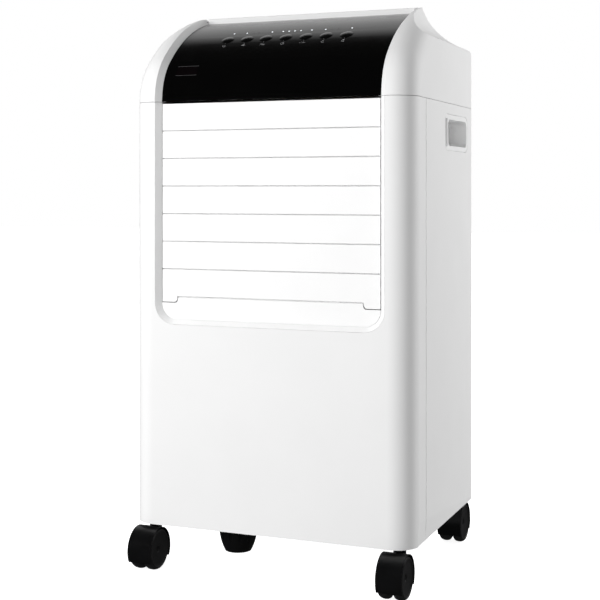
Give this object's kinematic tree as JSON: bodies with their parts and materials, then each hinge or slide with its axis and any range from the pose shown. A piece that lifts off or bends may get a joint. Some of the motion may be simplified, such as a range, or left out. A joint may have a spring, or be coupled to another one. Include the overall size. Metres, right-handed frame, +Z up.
{
  "type": "portable evaporative cooler",
  "caption": "Upright white room air cooler on swivel casters, with tilting front louvers, a curved black key panel, side hand grips and a rear water drawer.",
  "frame": {"origin": "on the floor under the middle of the bounding box", "axes": "+Z up; the louvered front faces -Y; +X is to the right seen from the front"},
  "size_m": [0.362, 0.3216, 0.693],
  "materials": {
    "white_gloss": "glossy injection-moulded ABS",
    "white_satin": "glossy ABS, slightly softer than the shells",
    "grey_plastic": "matt moulded PP",
    "panel_black": "high-gloss black acrylic-faced panel",
    "button_black": "gloss black domed keys",
    "window_black": "smoked infrared window",
    "lamp_lit": "white light pipe, lit",
    "lamp_dark": "smoked light pipe, unlit",
    "board_green": "glass-fibre circuit board",
    "impeller_grey": "moulded glass-filled PP",
    "motor_steel": "zinc-plated steel",
    "pad_paper": "corrugated cellulose wetting pad",
    "filter_mesh": "nylon dust screen in a moulded frame",
    "pump_black": "moulded pump casing",
    "hose_clear": "silicone hose",
    "clear_window": "clear styrene level window",
    "black_nylon": "black moulded nylon",
    "wheel_black": "black nylon wheel",
    "screw_steel": "zinc-plated screws"
  },
  "bodies": {
    "root": {"base_pan": "grey_plastic", "control_board": "board_green", "control_panel": "panel_black", "cooling_pad": "pad_paper", "cord_gland": "black_nylon", "dust_filter": "filter_mesh", "fan_duct": "grey_plastic", "fan_motor": "motor_steel", "front_housing": "white_gloss", "grille_screws": "screw_steel", "hand_grips": "white_satin", "indicators_dark": "lamp_dark", "indicators_lit": "lamp_lit", "louver_frame": "white_satin", "motor_bracket": "motor_steel", "pad_frame": "grey_plastic", "power_module": "grey_plastic", "pump": "pump_black", "pump_hose": "hose_clear", "rear_grille": "white_satin", "rear_housing": "white_gloss", "receiver_window": "window_black", "swing_motors": "motor_steel", "top_cover": "white_gloss", "vane_frame": "grey_plastic", "water_distributor": "grey_plastic"},
    "louver_1": {"louver_1": "white_satin"},
    "louver_2": {"louver_2": "white_satin"},
    "louver_3": {"louver_3": "white_satin"},
    "louver_4": {"louver_4": "white_satin"},
    "louver_5": {"louver_5": "white_satin"},
    "louver_6": {"louver_6": "white_satin"},
    "louver_7": {"louver_7": "white_satin"},
    "louver_link": {"louver_link": "grey_plastic"},
    "vane_1": {"vane_1": "grey_plastic"},
    "vane_2": {"vane_2": "grey_plastic"},
    "vane_3": {"vane_3": "grey_plastic"},
    "vane_4": {"vane_4": "grey_plastic"},
    "vane_5": {"vane_5": "grey_plastic"},
    "vane_link": {"vane_link": "grey_plastic"},
    "impeller": {"impeller": "impeller_grey"},
    "button_1": {"button_1": "button_black"},
    "button_2": {"button_2": "button_black"},
    "button_3": {"button_3": "button_black"},
    "button_4": {"button_4": "button_black"},
    "button_5": {"button_5": "button_black"},
    "button_6": {"button_6": "button_black"},
    "button_7": {"button_7": "button_black"},
    "tank": {"water_tank": "white_satin", "level_window": "clear_window"},
    "tank_latch": {"tank_latch": "grey_plastic"},
    "drain_plug": {"drain_plug": "black_nylon"},
    "caster_front_left": {"caster_hood_front_left": "black_nylon"},
    "wheels_front_left": {"caster_wheels_front_left": "wheel_black"},
    "caster_rear_left": {"caster_hood_rear_left": "black_nylon"},
    "wheels_rear_left": {"caster_wheels_rear_left": "wheel_black"},
    "caster_front_right": {"caster_hood_front_right": "black_nylon"},
    "wheels_front_right": {"caster_wheels_front_right": "wheel_black"},
    "caster_rear_right": {"caster_hood_rear_right": "black_nylon"},
    "wheels_rear_right": {"caster_wheels_rear_right": "wheel_black"}
  },
  "joints": [
    {"name": "louver_1_tilt", "type": "hinge", "parent": "root", "child": "louver_1", "pos_m": [0, -0.1265, 0.3523], "axis": [1, 0, 0], "range_deg": [0, 80]},
    {"name": "louver_2_tilt", "type": "hinge", "parent": "root", "child": "louver_2", "pos_m": [0, -0.1265, 0.3861], "axis": [1, 0, 0], "range_deg": [0, 80]},
    {"name": "louver_3_tilt", "type": "hinge", "parent": "root", "child": "louver_3", "pos_m": [0, -0.1265, 0.4199], "axis": [1, 0, 0], "range_deg": [0, 80]},
    {"name": "louver_4_tilt", "type": "hinge", "parent": "root", "child": "louver_4", "pos_m": [0, -0.1265, 0.4537], "axis": [1, 0, 0], "range_deg": [0, 80]},
    {"name": "louver_5_tilt", "type": "hinge", "parent": "root", "child": "louver_5", "pos_m": [0, -0.1265, 0.4875], "axis": [1, 0, 0], "range_deg": [0, 80]},
    {"name": "louver_6_tilt", "type": "hinge", "parent": "root", "child": "louver_6", "pos_m": [0, -0.1265, 0.5213], "axis": [1, 0, 0], "range_deg": [0, 80]},
    {"name": "louver_7_tilt", "type": "hinge", "parent": "root", "child": "louver_7", "pos_m": [0, -0.1265, 0.5551], "axis": [1, 0, 0], "range_deg": [0, 80]},
    {"name": "louver_link_pivot", "type": "hinge", "parent": "louver_1", "child": "louver_link", "pos_m": [0.153, -0.1145, 0.3523], "axis": [1, 0, 0], "range_deg": [-80, 0]},
    {"name": "vane_1_swing", "type": "hinge", "parent": "root", "child": "vane_1", "pos_m": [-0.088, -0.094, 0.44], "axis": [0, 0, 1], "range_deg": [-40, 40]},
    {"name": "vane_2_swing", "type": "hinge", "parent": "root", "child": "vane_2", "pos_m": [-0.044, -0.094, 0.44], "axis": [0, 0, 1], "range_deg": [-40, 40]},
    {"name": "vane_3_swing", "type": "hinge", "parent": "root", "child": "vane_3", "pos_m": [0, -0.094, 0.44], "axis": [0, 0, 1], "range_deg": [-40, 40]},
    {"name": "vane_4_swing", "type": "hinge", "parent": "root", "child": "vane_4", "pos_m": [0.044, -0.094, 0.44], "axis": [0, 0, 1], "range_deg": [-40, 40]},
    {"name": "vane_5_swing", "type": "hinge", "parent": "root", "child": "vane_5", "pos_m": [0.088, -0.094, 0.44], "axis": [0, 0, 1], "range_deg": [-40, 40]},
    {"name": "vane_link_pivot", "type": "hinge", "parent": "vane_1", "child": "vane_link", "pos_m": [-0.088, -0.085, 0.3137], "axis": [0, 0, 1], "range_deg": [-40, 40]},
    {"name": "impeller_spin", "type": "hinge", "parent": "root", "child": "impeller", "pos_m": [0, -0.049, 0.441], "axis": [0, 1, 0], "continuous": true},
    {"name": "button_1_press", "type": "slide", "parent": "root", "child": "button_1", "axis": [0, 0.5512, -0.8344], "range_m": [0, 0.0009], "stiffness_N_per_m": 1500},
    {"name": "button_2_press", "type": "slide", "parent": "root", "child": "button_2", "axis": [0, 0.5512, -0.8344], "range_m": [0, 0.0009], "stiffness_N_per_m": 1500},
    {"name": "button_3_press", "type": "slide", "parent": "root", "child": "button_3", "axis": [0, 0.5512, -0.8344], "range_m": [0, 0.0009], "stiffness_N_per_m": 1500},
    {"name": "button_4_press", "type": "slide", "parent": "root", "child": "button_4", "axis": [0, 0.5512, -0.8344], "range_m": [0, 0.0009], "stiffness_N_per_m": 1500},
    {"name": "button_5_press", "type": "slide", "parent": "root", "child": "button_5", "axis": [0, 0.5512, -0.8344], "range_m": [0, 0.0009], "stiffness_N_per_m": 1500},
    {"name": "button_6_press", "type": "slide", "parent": "root", "child": "button_6", "axis": [0, 0.5512, -0.8344], "range_m": [0, 0.0009], "stiffness_N_per_m": 1500},
    {"name": "button_7_press", "type": "slide", "parent": "root", "child": "button_7", "axis": [0, 0.5512, -0.8344], "range_m": [0, 0.0009], "stiffness_N_per_m": 1500},
    {"name": "tank_slide", "type": "slide", "parent": "root", "child": "tank", "axis": [0, 1, 0], "range_m": [0, 0.145]},
    {"name": "tank_latch_turn", "type": "hinge", "parent": "root", "child": "tank_latch", "pos_m": [0, 0.1594, 0.252], "axis": [0, 1, 0], "range_deg": [0, 90]},
    {"name": "drain_plug_turn", "type": "hinge", "parent": "root", "child": "drain_plug", "pos_m": [-0.055, -0.096, 0.05], "axis": [0, 0, 1], "range_deg": [0, 90]},
    {"name": "caster_front_left_swivel", "type": "hinge", "parent": "root", "child": "caster_front_left", "pos_m": [-0.1585, -0.116, 0.06], "axis": [0, 0, 1], "continuous": true},
    {"name": "wheels_front_left_spin", "type": "hinge", "parent": "caster_front_left", "child": "wheels_front_left", "pos_m": [-0.1585, -0.134, 0.025], "axis": [1, 0, 0], "continuous": true},
    {"name": "caster_rear_left_swivel", "type": "hinge", "parent": "root", "child": "caster_rear_left", "pos_m": [-0.1585, 0.144, 0.06], "axis": [0, 0, 1], "continuous": true},
    {"name": "wheels_rear_left_spin", "type": "hinge", "parent": "caster_rear_left", "child": "wheels_rear_left", "pos_m": [-0.1585, 0.126, 0.025], "axis": [1, 0, 0], "continuous": true},
    {"name": "caster_front_right_swivel", "type": "hinge", "parent": "root", "child": "caster_front_right", "pos_m": [0.1585, -0.116, 0.06], "axis": [0, 0, 1], "continuous": true},
    {"name": "wheels_front_right_spin", "type": "hinge", "parent": "caster_front_right", "child": "wheels_front_right", "pos_m": [0.1585, -0.134, 0.025], "axis": [1, 0, 0], "continuous": true},
    {"name": "caster_rear_right_swivel", "type": "hinge", "parent": "root", "child": "caster_rear_right", "pos_m": [0.1585, 0.144, 0.06], "axis": [0, 0, 1], "continuous": true},
    {"name": "wheels_rear_right_spin", "type": "hinge", "parent": "caster_rear_right", "child": "wheels_rear_right", "pos_m": [0.1585, 0.126, 0.025], "axis": [1, 0, 0], "continuous": true}
  ],
  "couplings": [
    {"joint": "louver_2_tilt", "follows": "louver_1_tilt", "ratio": 1},
    {"joint": "louver_3_tilt", "follows": "louver_1_tilt", "ratio": 1},
    {"joint": "louver_4_tilt", "follows": "louver_1_tilt", "ratio": 1},
    {"joint": "louver_5_tilt", "follows": "louver_1_tilt", "ratio": 1},
    {"joint": "louver_6_tilt", "follows": "louver_1_tilt", "ratio": 1},
    {"joint": "louver_7_tilt", "follows": "louver_1_tilt", "ratio": 1},
    {"joint": "louver_link_pivot", "follows": "louver_1_tilt", "ratio": -1},
    {"joint": "vane_2_swing", "follows": "vane_1_swing", "ratio": 1},
    {"joint": "vane_3_swing", "follows": "vane_1_swing", "ratio": 1},
    {"joint": "vane_4_swing", "follows": "vane_1_swing", "ratio": 1},
    {"joint": "vane_5_swing", "follows": "vane_1_swing", "ratio": 1},
    {"joint": "vane_link_pivot", "follows": "vane_1_swing", "ratio": -1}
  ]
}
